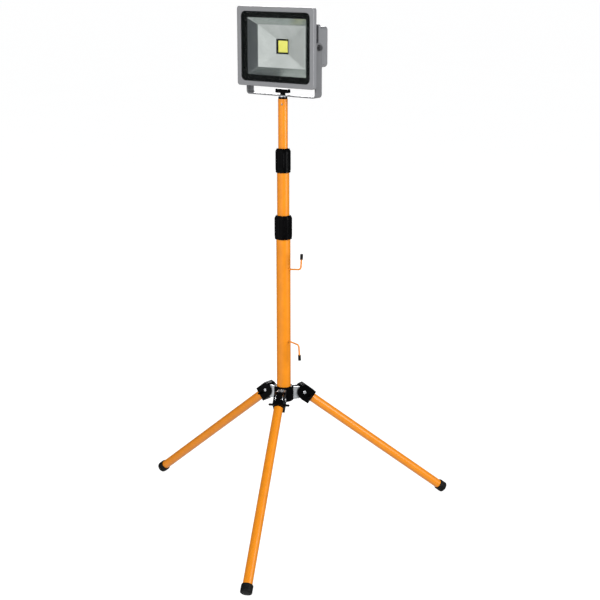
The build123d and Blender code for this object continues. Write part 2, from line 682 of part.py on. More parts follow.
def driver_cover():
    """The rear cover: a deep shell with soft corners and four screw posts."""
    width, depth, height = DRIVER_COVER
    front = BASE_BACK + SEAL_THICK
    body = plate_y(width, height, 9.0, front, depth, COVER_Z)
    body = fillet(body.edges().group_by(Axis.Y)[-1], 4.0)
    wall = DRIVER_WALL
    pocket = plate_y(width - 2 * wall, height - 2 * wall, 6.5, front - 1, depth - wall + 1, COVER_Z)
    posts = [rod(4.5, (x, front, z), (x, front + depth - 1, z)) for x, z in cover_posts()]
    body = fuse([body - pocket, *posts])
    for x, z in cover_posts():
        body -= rod(1.75, (x, front - 1, z), (x, front + depth + 1, z))
        body -= rod(3.4, (x, front + depth - 2.4, z), (x, front + depth + 1, z))
    gland_z = COVER_Z - height / 2
    body -= rod(8.0, (0, gland_y(), gland_z - 1), (0, gland_y(), gland_z + wall + 1))
    return body


def cover_posts():
    width, _, height = DRIVER_COVER
    return corner_places(width / 2 - 9.0, height / 2 - 9.0, COVER_Z)


def driver_screws():
    """Four long screws from behind, through the posts and the frame into the heat sink."""
    seat = BASE_BACK + SEAL_THICK + DRIVER_COVER[1] - 2.4
    return [screw_y(place, HOUSING_BACK - 3.5, seat, 1.75, 3.2) for place in cover_posts()]


def driver_unit():
    """The potted LED driver inside the box."""
    low_y = HOUSING_BACK + 3.0
    body = plate_y(118.0, 44.0, 3.0, low_y, 24.0, COVER_Z + 6.0)
    return fillet(body.edges().group_by(Axis.Y)[-1], 1.5)


def gland_y():
    return BASE_BACK + SEAL_THICK + DRIVER_COVER[1] / 2


def gland_axis(start, end, radius):
    return rod(radius, (0, gland_y(), start), (0, gland_y(), end))


def hex_on_gland(across_flats, top, height):
    plane = Plane(origin=(0, gland_y(), top - height))
    return extrude(plane * RegularPolygon(across_flats / 2, 6, major_radius=False), height)


def cable_gland():
    """The gland body through the cover's underside."""
    face_z = COVER_Z - DRIVER_COVER[2] / 2
    thread = gland_axis(face_z - 12.0, face_z + DRIVER_WALL + 4.0, 7.9)
    body = fuse([thread, hex_on_gland(20.0, face_z, 4.5)])
    return body - gland_axis(face_z - 20, face_z + 20, 4.2)


def gland_nut():
    """The dome nut that squeezes the gland's seal on the cord."""
    face_z = COVER_Z - DRIVER_COVER[2] / 2
    top = face_z - 4.6
    body = hex_on_gland(19.0, top, 8.0)
    dome = Cone(6.5, 9.3, 6.0, align=(Align.CENTER, Align.CENTER, Align.MIN))
    body = fuse([body, Pos(0, gland_y(), top - 14.0) * dome])
    body -= gland_axis(top + 1, face_z - 12.0, 7.9)
    return body - gland_axis(face_z - 30, face_z, 4.2)


# ---- write every piece ----
def group(solids):
    """Equal pieces in one node, as separate solids."""
    return Compound(children=list(solids))


def build_mast():
    save("lower_tube", lower_tube())
    save("middle_tube", middle_tube())
    save("upper_tube", upper_tube())
    save("middle_guide_bush", guide_bush(MIDDLE_R, LOWER_R, MIDDLE_TUBE_BOTTOM))
    save("upper_guide_bush", guide_bush(UPPER_R, MIDDLE_R, UPPER_TUBE_BOTTOM))
    locks = {
        "lower": (LOWER_LOCK_R, LOWER_R, MIDDLE_R, LOWER_LOCK_BOTTOM, LOWER_TUBE_TOP),
        "upper": (UPPER_LOCK_R, MIDDLE_R, UPPER_R, UPPER_LOCK_BOTTOM, MIDDLE_TUBE_TOP),
    }
    for name, (outer_r, tube_r, inner_r, bottom, tube_top) in locks.items():
        save(f"{name}_lock_base", lock_base(outer_r, tube_r, bottom, tube_top))
        save(f"{name}_lock_sleeve", lock_sleeve(outer_r, inner_r, bottom, tube_top))
        save(f"{name}_collet", collet(outer_r, inner_r, tube_top))
    for name, spec in HOOKS.items():
        save(name, cable_hook(spec))
    save("hook_caps", group([hook_cap(spec) for spec in HOOKS.values()]))


def build_tripod():
    azimuths = LEG_AZIMUTHS.values()
    save("hub_collar", hub_collar())
    save("bracket_screws", group([bracket_screw(*place) for place in hub_screw_places()]))
    save("pivot_pins", group([pivot_pin(azimuth) for azimuth in azimuths]))
    socket = leg_socket()
    tube = leg_tube()
    bar = lock_bar()
    spring = lock_spring()
    for name, azimuth in LEG_AZIMUTHS.items():
        place = leg_place(azimuth)
        save(f"leg_bracket_{name}", leg_bracket(azimuth))
        save(f"leg_socket_{name}", place * socket)
        save(f"leg_tube_{name}", place * tube)
        save(f"lock_bar_{name}", place * bar)
        save(f"lock_spring_{name}", place * spring)
        save(f"foot_cap_{name}", foot_cap(azimuth))


def build_clamp():
    save("top_plug", top_plug())
    save("clamp_nut", clamp_nut())
    save("plug_rivet", plug_rivet())
    save("yoke", yoke())
    save("yoke_washer", yoke_washer())
    save("clamp_knob", clamp_knob())
    save("clamp_stud", clamp_stud())


def build_head():
    save("front_bezel", front_bezel())
    save("front_glass", front_glass())
    save("glass_gasket", glass_gasket())
    save("reflector", reflector())
    save("led_board", led_board())
    save("led_emitter", led_emitter())
    save("led_screws", group(led_screws()))
    save("housing", housing())
    save("bezel_screws", group(bezel_screws()))
    save("tilt_bolts", group(tilt_bolts()))
    save("tilt_washers", group(tilt_washers()))
    save("driver_base", driver_base())
    save("driver_gasket", driver_gasket())
    save("driver_cover", driver_cover())
    save("driver_screws", group(driver_screws()))
    save("driver_unit", driver_unit())
    save("cable_gland", cable_gland())
    save("gland_nut", gland_nut())


os.makedirs("parts", exist_ok=True)
build_mast()
build_tripod()
build_clamp()
build_head()
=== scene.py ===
"""Looks of a tripod work light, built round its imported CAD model. Everything is in metres."""

import json
import math

import bmesh
import bpy
from mathutils import Matrix, Vector


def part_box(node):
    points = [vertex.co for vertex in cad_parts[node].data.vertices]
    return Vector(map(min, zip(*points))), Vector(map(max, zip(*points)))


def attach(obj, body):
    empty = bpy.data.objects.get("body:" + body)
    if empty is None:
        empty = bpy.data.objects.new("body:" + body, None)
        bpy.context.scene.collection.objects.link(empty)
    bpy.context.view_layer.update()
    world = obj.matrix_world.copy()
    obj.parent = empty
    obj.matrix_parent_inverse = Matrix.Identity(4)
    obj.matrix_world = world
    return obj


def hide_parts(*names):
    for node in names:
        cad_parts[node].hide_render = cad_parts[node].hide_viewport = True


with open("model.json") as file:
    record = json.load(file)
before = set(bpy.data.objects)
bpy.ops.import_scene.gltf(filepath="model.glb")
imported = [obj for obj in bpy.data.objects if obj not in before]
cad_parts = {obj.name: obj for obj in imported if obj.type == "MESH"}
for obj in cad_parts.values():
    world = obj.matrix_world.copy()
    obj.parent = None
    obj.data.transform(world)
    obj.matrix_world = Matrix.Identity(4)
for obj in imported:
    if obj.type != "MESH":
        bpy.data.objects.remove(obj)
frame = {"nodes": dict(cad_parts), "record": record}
nodes = frame["nodes"]
joints = {joint["name"]: joint for joint in frame["record"]["behaviour"]["joints"]}
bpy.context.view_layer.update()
MM = 0.001

# ---- places in the lamp that its detail pieces are worked out from ----
GLASS_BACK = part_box("front_glass")[1].y
MOUTH_LOW, MOUTH_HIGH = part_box("reflector")
BOARD_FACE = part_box("led_board")[0].y
LAMP_Z = (MOUTH_LOW.z + MOUTH_HIGH.z) / 2
OPENING_X = (MOUTH_HIGH.x - MOUTH_LOW.x) / 2 + 0.5 * MM
OPENING_Z = (MOUTH_HIGH.z - MOUTH_LOW.z) / 2 + 0.5 * MM
PRINT_WIDTH = 14.2 * MM     # the black border on the glass
WINDOW_X = OPENING_X - PRINT_WIDTH
WINDOW_Z = OPENING_Z - PRINT_WIDTH
LED_HALF = 16.6 * MM        # halves of square sides, from here on
LED_OPENING_HALF = 17.0 * MM
PHOSPHOR_HALF = 13.2 * MM


# ---------------------------------------------------------------- node helpers
def new_material(name):
    material = bpy.data.materials.new(name)
    material.use_nodes = True
    tree = material.node_tree
    return material, tree, tree.nodes["Principled BSDF"]


def link(tree, output, target):
    tree.links.new(output, target)


def noise(tree, scale, detail=4.0, roughness=0.5):
    """A value that varies over the piece; scale is in lumps to a metre."""
    coordinate = tree.nodes.new("ShaderNodeTexCoord")
    texture = tree.nodes.new("ShaderNodeTexNoise")
    texture.inputs["Scale"].default_value = scale
    texture.inputs["Detail"].default_value = detail
    texture.inputs["Roughness"].default_value = roughness
    link(tree, coordinate.outputs["Object"], texture.inputs["Vector"])
    return texture.outputs["Fac"]


def ramp(tree, value, stops):
    """A colour ramp over value; stops are pairs of position and colour."""
    node = tree.nodes.new("ShaderNodeValToRGB")
    elements = node.color_ramp.elements
    while len(elements) < len(stops):
        elements.new(0.5)
    for element, (position, colour) in zip(elements, stops):
        element.position = position
        element.color = (*colour, 1.0)
    link(tree, value, node.inputs["Fac"])
    return node.outputs["Color"]


def spread(tree, value, low, high):
    """A value from 0 to 1 brought into the range from low to high."""
    node = tree.nodes.new("ShaderNodeMapRange")
    node.inputs["To Min"].default_value = low
    node.inputs["To Max"].default_value = high
    link(tree, value, node.inputs["Value"])
    return node.outputs["Result"]


BEVEL_SAMPLES = 6


def soft_edges(tree, radius):
    """A normal that rounds the sharp edges of a piece by radius."""
    node = tree.nodes.new("ShaderNodeBevel")
    node.samples = BEVEL_SAMPLES
    node.inputs["Radius"].default_value = radius
    return node.outputs["Normal"]


def bump(tree, shader, height, distance, under=None):
    """Give the shader a relief of the given depth in metres, over the normal under if there is one."""
    node = tree.nodes.new("ShaderNodeBump")
    node.inputs["Distance"].default_value = distance
    node.inputs["Strength"].default_value = 1.0
    link(tree, height, node.inputs["Height"])
    if under is not None:
        link(tree, under, node.inputs["Normal"])
    link(tree, node.outputs["Normal"], shader.inputs["Normal"])
    return node.outputs["Normal"]


def shades(colour, amount):
    """The darker and lighter colours that a surface varies between."""
    dark = tuple(c * (1 - amount) for c in colour)
    light = tuple(min(1.0, c * (1 + amount)) for c in colour)
    return dark, light


# ------------------------------------------------------------------- materials
# Depths of relief, in metres.
PEEL_DEPTH = 0.05 * MM
GRAIN_DEPTH = 0.03 * MM
PORE_DEPTH = 0.1 * MM
RIPPLE_DEPTH = 0.3 * MM
POLISH_DEPTH = 0.01 * MM


def powder_coat(name, colour, roughness, peel):
    """Baked powder paint: soft orange peel, faint clouding, a hard clear skin."""
    material, tree, shader = new_material(name)
    dark, light = shades(colour, 0.05)
    clouds = noise(tree, 45.0, 5.0, 0.6)
    link(tree, ramp(tree, clouds, [(0.35, dark), (0.65, light)]), shader.inputs["Base Color"])
    gloss = spread(tree, noise(tree, 160.0, 3.0), roughness - 0.05, roughness + 0.07)
    link(tree, gloss, shader.inputs["Roughness"])
    shader.inputs["Specular IOR Level"].default_value = 0.35
    shader.inputs["Coat Weight"].default_value = 0.07
    shader.inputs["Coat Roughness"].default_value = 0.12
    bump(tree, shader, noise(tree, peel, 2.0, 0.4), PEEL_DEPTH, under=soft_edges(tree, 0.5 * MM))
    return material


def moulding(name, colour, roughness, specular=0.35):
    """Moulded plastic: fine spark-eroded grain and a little handling shine."""
    material, tree, shader = new_material(name)
    dark, light = shades(colour, 0.35)
    link(tree, ramp(tree, noise(tree, 60.0, 6.0, 0.65), [(0.3, dark), (0.7, light)]),
         shader.inputs["Base Color"])
    gloss = spread(tree, noise(tree, 90.0, 4.0), roughness - 0.06, roughness + 0.1)
    link(tree, gloss, shader.inputs["Roughness"])
    shader.inputs["Specular IOR Level"].default_value = specular
    bump(tree, shader, noise(tree, 2600.0, 3.0, 0.6), GRAIN_DEPTH, under=soft_edges(tree, 0.6 * MM))
    return material


def rubber(name, colour):
    """Matt rubber with a bloom of pale dust in its pores."""
    material, tree, shader = new_material(name)
    dark, light = shades(colour, 0.5)
    link(tree, ramp(tree, noise(tree, 240.0, 8.0, 0.75), [(0.4, dark), (0.75, light)]),
         shader.inputs["Base Color"])
    link(tree, spread(tree, noise(tree, 120.0, 4.0), 0.5, 0.75), shader.inputs["Roughness"])
    shader.inputs["Specular IOR Level"].default_value = 0.15
    bump(tree, shader, noise(tree, 1500.0, 6.0, 0.7), PORE_DEPTH)
    return material


def plated(name, colour, roughness):
    """Plated or bare steel: cloudy reflections over a fine grain."""
    material, tree, shader = new_material(name)
    shader.inputs["Metallic"].default_value = 1.0
    dark, light = shades(colour, 0.14)
    link(tree, ramp(tree, noise(tree, 130.0, 6.0, 0.6), [(0.3, dark), (0.7, light)]),
         shader.inputs["Base Color"])
    gloss = spread(tree, noise(tree, 420.0, 5.0, 0.6), roughness - 0.08, roughness + 0.14)
    link(tree, gloss, shader.inputs["Roughness"])
    bump(tree, shader, noise(tree, 900.0, 4.0, 0.5), GRAIN_DEPTH, under=soft_edges(tree, 0.3 * MM))
    return material


def casting(name, colour):
    """Die casting under satin silver-grey paint: fine flecks over a faint cast skin."""
    material, tree, shader = new_material(name)
    dark, light = shades(colour, 0.12)
    flecks = ramp(tree, noise(tree, 3200.0, 2.0, 0.5), [(0.3, dark), (0.72, light)])
    link(tree, flecks, shader.inputs["Base Color"])
    shader.inputs["Metallic"].default_value = 0.2
    link(tree, spread(tree, noise(tree, 180.0, 4.0), 0.4, 0.54), shader.inputs["Roughness"])
    shader.inputs["Coat Weight"].default_value = 0.15
    shader.inputs["Coat Roughness"].default_value = 0.25
    skin = bump(tree, shader, noise(tree, 240.0, 3.0, 0.5), PORE_DEPTH,
                under=soft_edges(tree, 0.8 * MM))
    bump(tree, shader, noise(tree, 2400.0, 2.0, 0.5), GRAIN_DEPTH, under=skin)
    return material


def bright_sheet(name):
    """Pressed bright aluminium: mirror-like, with the slow ripple of the press."""
    material, tree, shader = new_material(name)
    shader.inputs["Metallic"].default_value = 1.0
    dark, light = (0.58, 0.62, 0.60), (0.65, 0.69, 0.67)
    link(tree, ramp(tree, noise(tree, 30.0, 3.0), [(0.3, dark), (0.7, light)]),
         shader.inputs["Base Color"])
    link(tree, spread(tree, noise(tree, 70.0, 4.0), 0.12, 0.22), shader.inputs["Roughness"])
    ripple = bump(tree, shader, noise(tree, 34.0, 2.0, 0.4), RIPPLE_DEPTH)
    bump(tree, shader, noise(tree, 1400.0, 3.0), POLISH_DEPTH, under=ripple)
    return material


def clear_glass(name):
    """Thin tempered glass: nearly clear, with a faint green body and smudged gloss."""
    material, tree, shader = new_material(name)
    body = [(0.3, (0.015, 0.025, 0.022)), (0.7, (0.03, 0.045, 0.04))]
    link(tree, ramp(tree, noise(tree, 12.0, 3.0), body), shader.inputs["Base Color"])
    link(tree, spread(tree, noise(tree, 25.0, 5.0), 0.02, 0.06), shader.inputs["Roughness"])
    shader.inputs["Alpha"].default_value = 0.06
    shader.inputs["Specular IOR Level"].default_value = 0.5
    return material


CHIPS_PER_METRE = 420.0


def phosphor(name):
    """The yellow silicone phosphor over the diode array, with the chips' faint grid."""
    material, tree, shader = new_material(name)
    grid = tree.nodes.new("ShaderNodeTexBrick")
    grid.offset = 0.0
    grid.inputs["Color1"].default_value = (0.82, 0.80, 0.13, 1)
    grid.inputs["Color2"].default_value = (0.90, 0.88, 0.22, 1)
    grid.inputs["Mortar"].default_value = (0.68, 0.66, 0.07, 1)
    grid.inputs["Scale"].default_value = CHIPS_PER_METRE
    grid.inputs["Mortar Size"].default_value = 0.16
    grid.inputs["Mortar Smooth"].default_value = 1.0
    grid.inputs["Brick Width"].default_value = 1.0
    grid.inputs["Row Height"].default_value = 1.0
    turn = tree.nodes.new("ShaderNodeMapping")
    turn.inputs["Rotation"].default_value = (math.radians(90), 0, 0)
    coordinate = tree.nodes.new("ShaderNodeTexCoord")
    link(tree, coordinate.outputs["Object"], turn.inputs["Vector"])
    link(tree, turn.outputs["Vector"], grid.inputs["Vector"])
    link(tree, grid.outputs["Color"], shader.inputs["Base Color"])
    link(tree, spread(tree, noise(tree, 300.0, 3.0), 0.25, 0.4), shader.inputs["Roughness"])
    bump(tree, shader, noise(tree, 500.0, 3.0), PEEL_DEPTH)
    return material


def printed_black(name):
    """Ceramic print fired on the back of the glass: deep, even and glossy."""
    material, tree, shader = new_material(name)
    ink = [(0.3, (0.0008, 0.0008, 0.001)), (0.7, (0.0018, 0.0018, 0.002))]
    link(tree, ramp(tree, noise(tree, 200.0, 4.0), ink), shader.inputs["Base Color"])
    link(tree, spread(tree, noise(tree, 60.0, 3.0), 0.1, 0.2), shader.inputs["Roughness"])
    shader.inputs["Specular IOR Level"].default_value = 0.03
    return material


FLOOR_GLOW = 0.96           # the floor is a lit table, so that it stays white under the stand


def floor_finish(name):
    """A lit white table that takes only a faint shadow."""
    material, tree, shader = new_material(name)
    pale = [(0.3, (0.15, 0.15, 0.15)), (0.7, (0.17, 0.17, 0.17))]
    link(tree, ramp(tree, noise(tree, 1.5, 4.0), pale), shader.inputs["Base Color"])
    link(tree, spread(tree, noise(tree, 8.0, 3.0), 0.75, 0.9), shader.inputs["Roughness"])
    shader.inputs["Specular IOR Level"].default_value = 0.1
    shader.inputs["Emission Color"].default_value = (1.0, 1.0, 1.0, 1.0)
    shader.inputs["Emission Strength"].default_value = FLOOR_GLOW
    return material


FINISHES = {
    "orange_powder_coat": powder_coat("orange_powder_coat", (0.69, 0.220, 0.006), 0.34, 800.0),
    "black_moulding": moulding("black_moulding", (0.0018, 0.0018, 0.002), 0.2, specular=0.045),
    "black_rubber": rubber("black_rubber", (0.004, 0.004, 0.004)),
    "zinc_plate": plated("zinc_plate", (0.66, 0.68, 0.70), 0.38),
    "screw_steel": plated("screw_steel", (0.20, 0.20, 0.205), 0.32),
    "spring_steel": plated("spring_steel", (0.42, 0.42, 0.43), 0.38),
    "grey_casting": casting("grey_casting", (0.212, 0.215, 0.224)),
    "yoke_paint": powder_coat("yoke_paint", (0.150, 0.152, 0.158), 0.46, 1100.0),
    "bright_reflector": bright_sheet("bright_reflector"),
    "clear_glass": clear_glass("clear_glass"),
    "led_phosphor": phosphor("led_phosphor"),
    "led_board_white": moulding("led_board_white", (0.62, 0.63, 0.62), 0.32),
    "seal_rubber": rubber("seal_rubber", (0.02, 0.02, 0.02)),
    "driver_resin": moulding("driver_resin", (0.03, 0.03, 0.035), 0.28),
    "slide_plastic": moulding("slide_plastic", (0.62, 0.62, 0.58), 0.42),
}
GLASS_PRINT = printed_black("glass_print_ink")


def finish_cad_nodes():
    """Give every carried-over CAD node the finish of its slot."""
    for subpart in frame["record"]["subparts"]:
        shape = nodes[subpart["node"]]
        shape.data.materials.clear()
        shape.data.materials.append(FINISHES[subpart["material_slot"]])


# ---------------------------------------------------------------- mesh helpers
def add_piece(name, mesh_maker, finish, body, replaced=(), sharp=35.0):
    """Build a mesh with bmesh, give it its finish and let it ride on its body."""
    mesh = bpy.data.meshes.new(name)
    working = bmesh.new()
    mesh_maker(working)
    bmesh.ops.recalc_face_normals(working, faces=working.faces)
    working.to_mesh(mesh)
    working.free()
    mesh.shade_smooth()
    mesh.set_sharp_from_angle(angle=math.radians(sharp))
    piece = bpy.data.objects.new(name, mesh)
    bpy.context.scene.collection.objects.link(piece)
    mesh.materials.append(finish)
    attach(piece, body)
    if replaced:
        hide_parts(*replaced)


def skin_loops(working, loops, closed=False):
    """Quads between each loop of points and the next; closed joins the last to the first."""
    rings = [[working.verts.new(point) for point in loop] for loop in loops]
    pairs = list(zip(rings, rings[1:]))
    if closed:
        pairs.append((rings[-1], rings[0]))
    for ring, following in pairs:
        count = len(ring)
        for index in range(count):
            after = (index + 1) % count
            working.faces.new((ring[index], ring[after], following[after], following[index]))
    return rings


def cap_ring(working, ring):
    working.faces.new(ring)


CORNER_STEPS = 5
LATHE_STEPS = 48


def rounded_rect(half_x, half_z, radius, y):
    """A loop of points round a rectangle that faces -Y, centred on the lamp."""
    points = []
    corners = [(1, 1, 0), (-1, 1, 90), (-1, -1, 180), (1, -1, 270)]
    for side_x, side_z, start in corners:
        middle_x = side_x * (half_x - radius)
        middle_z = side_z * (half_z - radius)
        for step in range(CORNER_STEPS + 1):
            angle = math.radians(start + 90.0 * step / CORNER_STEPS)
            points.append(Vector((middle_x + radius * math.cos(angle), y,
                                  LAMP_Z + middle_z + radius * math.sin(angle))))
    return points


def lathe(working, profile, place):
    """Turn a profile of (distance along the axis, radius) about place's Z axis."""
    loops = []
    for along, radius in profile:
        loop = []
        for step in range(LATHE_STEPS):
            angle = 2 * math.pi * step / LATHE_STEPS
            loop.append(place @ Vector((radius * math.cos(angle), radius * math.sin(angle), along)))
        loops.append(loop)
    return skin_loops(working, loops)


# ------------------------------------------------------------- lamp head pieces
PRINT_GAP = 0.02 * MM       # keeps the print clear of the glass
PRINT_THICKNESS = 0.25 * MM


def glass_print(working):
    """The black border on the back of the glass, with rounded inner corners."""
    front = GLASS_BACK + PRINT_GAP
    back = front + PRINT_THICKNESS
    outer = (OPENING_X - 0.1 * MM, OPENING_Z - 0.1 * MM, 11.9 * MM)
    inner = (WINDOW_X, WINDOW_Z, 3.0 * MM)
    loops = [rounded_rect(*outer, front), rounded_rect(*inner, front),
             rounded_rect(*inner, back), rounded_rect(*outer, back)]
    skin_loops(working, loops, closed=True)


WALL_INSET = 16.0 * MM      # how far the walls lean in
WALL_DEPTH = 18.0 * MM
WALL_BOW = 0.1              # how much steeper the wall is at its mouth than on average
WALL_STEPS = 10
NECK_DEPTH = 3.0 * MM
SHEET = 0.8 * MM


def reflector_profile():
    """The sheet's front side: pairs of half sizes, a corner radius and a depth."""
    depth = BOARD_FACE - MOUTH_LOW.y
    flange = (OPENING_X - 0.5 * MM, OPENING_Z - 0.5 * MM, 11.0 * MM, 0.0)
    sections = [flange]
    for index in range(WALL_STEPS + 1):
        t = index / WALL_STEPS
        inset = WALL_INSET * t
        down = WALL_DEPTH * ((1 + WALL_BOW) * t - WALL_BOW * t * t)
        corner = (2.5 - 1.5 * t) * MM
        sections.append((WINDOW_X - inset, WINDOW_Z - inset, corner, down))
    crease = sections[-1]
    sections.append((crease[0] - 0.7 * MM, crease[1] - 0.7 * MM, 0.9 * MM, crease[3] - 0.25 * MM))
    led = LED_OPENING_HALF
    sections.append((led + 0.6 * MM, led + 0.6 * MM, 1.2 * MM, depth - NECK_DEPTH - 0.1 * MM))
    sections.append((led, led, 1.0 * MM, depth - NECK_DEPTH + 0.5 * MM))
    sections.append((led, led, 1.0 * MM, depth - 0.05 * MM))
    return sections


def reflector_sheet(working):
    """The pressed reflector: bowed walls, a crease, a shallow pyramid and a square neck."""
    mouth = MOUTH_LOW.y
    front = reflector_profile()
    loops = [rounded_rect(x, z, corner, mouth + depth) for x, z, corner, depth in front]
    back = [(x + SHEET, z + SHEET, corner + SHEET, depth + SHEET) for x, z, corner, depth in front[1:-1]]
    last = front[-1]
    back.append((last[0] + SHEET, last[1] + SHEET, last[2] + SHEET, last[3]))
    back.insert(0, (front[0][0], front[0][1], front[0][2], SHEET))
    loops += [rounded_rect(x, z, corner, mouth + depth) for x, z, corner, depth in reversed(back)]
    skin_loops(working, loops, closed=True)


def led_frame(working):
    """A black frame round the phosphor, reaching nearly to the opening's edge, with a step down to the
    phosphor.
    """
    base = BOARD_FACE - 0.01 * MM
    inner = PHOSPHOR_HALF + 0.05 * MM
    sections = [(LED_HALF, 1.2 * MM, base), (LED_HALF, 1.2 * MM, base - 0.7 * MM),
                (LED_HALF - 0.25 * MM, 1.0 * MM, base - 0.9 * MM),
                (inner + 0.3 * MM, 1.0 * MM, base - 0.9 * MM), (inner, 0.9 * MM, base - 0.7 * MM),
                (inner, 0.9 * MM, base)]
    loops = [rounded_rect(half, half, corner, y) for half, corner, y in sections]
    skin_loops(working, loops, closed=True)


def led_phosphor(working):
    """The phosphor pad: a thin silicone pillow that rises a little towards its middle."""
    base = BOARD_FACE - 0.02 * MM
    half = PHOSPHOR_HALF
    sections = [(half, 0.9 * MM, 0.0), (half, 0.9 * MM, 0.45 * MM), (half * 0.96, 0.8 * MM, 0.6 * MM),
                (half * 0.8, 0.7 * MM, 0.68 * MM), (half * 0.5, 0.5 * MM, 0.74 * MM),
                (half * 0.2, 0.3 * MM, 0.76 * MM)]
    loops = [rounded_rect(size, size, corner, base - rise) for size, corner, rise in sections]
    rings = skin_loops(working, loops)
    cap_ring(working, rings[0])
    cap_ring(working, rings[-1])


def build_lamp_pieces():
    add_piece("glass_print", glass_print, GLASS_PRINT, "head")
    add_piece("reflector_pressing", reflector_sheet, FINISHES["bright_reflector"], "head",
              ["reflector"], sharp=14.0)
    add_piece("led_frame", led_frame, FINISHES["black_moulding"], "head",
              ["led_emitter"])
    add_piece("led_phosphor_pad", led_phosphor, FINISHES["led_phosphor"], "head",
              ["led_emitter"], sharp=60.0)


# ------------------------------------------------------------------- clamp knob
KNOB_LOW, KNOB_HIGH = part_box("clamp_knob")
KNOB_LENGTH = KNOB_HIGH.x - KNOB_LOW.x
KNOB_DEPTH = KNOB_HIGH.y - KNOB_LOW.y
KNOB_STEM_R = 6.2 * MM
KNOB_STEPS = 64


def knob_outline(stretch, depth, z, squareness):
    """A loop at one height; squareness 2 is an ellipse, and more is nearer a rectangle."""
    points = []
    for step in range(KNOB_STEPS):
        angle = 2 * math.pi * step / KNOB_STEPS
        c, s = math.cos(angle), math.sin(angle)
        x = stretch * math.copysign(abs(c) ** (2 / squareness), c)
        y = depth * math.copysign(abs(s) ** (2 / squareness), s)
        points.append(Vector((x, y, z)))
    return points


def clamp_grip(working):
    """The moulded T knob: a waisted stem that flares into a blunt wing."""
    height = KNOB_HIGH.z - KNOB_LOW.z
    half = KNOB_LENGTH / 2
    depth = KNOB_DEPTH / 2
    stem = KNOB_STEM_R
    # share of the height, half length, half depth, squareness
    sections = [
        (0.00, stem, stem, 2.0), (0.04, stem + 0.1 * MM, stem + 0.1 * MM, 2.0),
        (0.16, stem * 0.94, stem * 0.94, 2.0), (0.25, stem * 0.95, stem * 0.93, 2.0),
        (0.29, stem * 1.2, stem * 0.8, 2.4), (0.32, half * 0.93, depth * 0.94, 4.0),
        (0.35, half * 0.99, depth * 0.99, 5.0), (0.41, half, depth, 5.0),
        (0.88, half * 0.99, depth * 0.98, 5.0), (0.95, half * 0.97, depth * 0.92, 4.5),
        (0.99, half * 0.93, depth * 0.80, 4.0), (1.00, half * 0.88, depth * 0.66, 3.6),
    ]
    loops = [knob_outline(x, y, KNOB_LOW.z + t * height, n) for t, x, y, n in sections]
    rings = skin_loops(working, loops)
    cap_ring(working, rings[0])
    cap_ring(working, rings[-1])


def build_knob():
    add_piece("clamp_grip", clamp_grip, FINISHES["black_moulding"], "clamp",
              ["clamp_knob"], sharp=50.0)


# ------------------------------------------------------------------------- feet
LEG_END = 502.5 * MM        # from a leg's fold axis to the end of its foot
FOOT_R = 13.75 * MM
LEG_TUBE_R = 11.0 * MM
FOOT_LENGTH = 20.0 * MM


def leg_frame(name):
    """Where a leg's outer end is, with Z pointing back along the leg."""
    pivot = Vector(joints[f"leg_fold_{name}"]["pos_m"])
    outward = Vector(joints[f"lock_bar_pull_{name}"]["axis"]).normalized()
    turn = (-outward).to_track_quat("Z", "Y").to_matrix().to_4x4()
    return Matrix.Translation(pivot + outward * LEG_END) @ turn


def foot_profile():
    """The cap from the middle of its end, up its side with two grooves, and back inside."""
    r = FOOT_R
    groove = 0.7 * MM
    mouth = LEG_TUBE_R + 0.05 * MM
    profile = [(0.0, 0.2 * MM), (0.0, r - 2.4 * MM), (0.35 * MM, r - 1.3 * MM), (1.1 * MM, r - 0.4 * MM),
               (2.2 * MM, r)]
    for start in (6.0, 10.0):
        profile += [(start * MM, r), ((start + 0.4) * MM, r - groove),
                    ((start + 1.3) * MM, r - groove), ((start + 1.7) * MM, r)]
    profile += [(FOOT_LENGTH - 3.5 * MM, r), (FOOT_LENGTH - 0.9 * MM, r - 0.3 * MM),
                (FOOT_LENGTH - 0.2 * MM, r - 0.8 * MM), (FOOT_LENGTH, r - 1.4 * MM),
                (FOOT_LENGTH, mouth), (3.0 * MM, mouth), (3.0 * MM, 0.2 * MM)]
    return profile


def foot_cap(name):
    """A maker for one leg's cap, cut level where it would go below the floor."""
    def maker(working):
        rings = lathe(working, foot_profile(), leg_frame(name))
        cap_ring(working, rings[0])
        cap_ring(working, rings[-1])
        for vertex in working.verts:
            vertex.co.z = max(vertex.co.z, 0.0)
    return maker


def build_feet():
    for name in ("front", "right", "left"):
        add_piece(f"foot_ferrule_{name}", foot_cap(name), FINISHES["black_rubber"], f"leg_{name}",
                  [f"foot_cap_{name}"], sharp=40.0)


# -------------------------------------------------------------- hook weld beads
HOOK_ROOTS = {"upper": (3.0, 636.5 * MM), "lower": (-6.0, 459.0 * MM)}   # bearing and height
MAST_R = 17.0 * MM
HOOK_WIRE_R = 2.0 * MM
BEAD_AROUND, BEAD_ACROSS = 40, 10
BEAD_REACH = HOOK_WIRE_R + 0.7 * MM


def weld_bead(azimuth, height):
    """A lumpy fillet of weld round a hook's root, on the face of the tube."""
    place = (Matrix.Rotation(math.radians(azimuth), 4, "Z")
             @ Matrix.Translation((MAST_R, 0, height))
             @ Matrix.Rotation(math.radians(90), 4, "Y"))

    def maker(working):
        loops = []
        for step in range(BEAD_AROUND):
            angle = 2 * math.pi * step / BEAD_AROUND
            swell = 1.0 + 0.12 * math.sin(5 * angle) + 0.06 * math.sin(11 * angle + 1.0)
            loop = []
            for turn in range(BEAD_ACROSS):
                tilt = 2 * math.pi * turn / BEAD_ACROSS
                reach = BEAD_REACH + 1.1 * MM * swell * math.cos(tilt)
                rise = 0.9 * MM * swell * math.sin(tilt)
                x = reach * math.cos(angle)
                y = reach * math.sin(angle)
                sink = (y * y) / (2 * MAST_R)
                loop.append(place @ Vector((x, y, rise - sink)))
            loops.append(loop)
        skin_loops(working, loops, closed=True)
    return maker


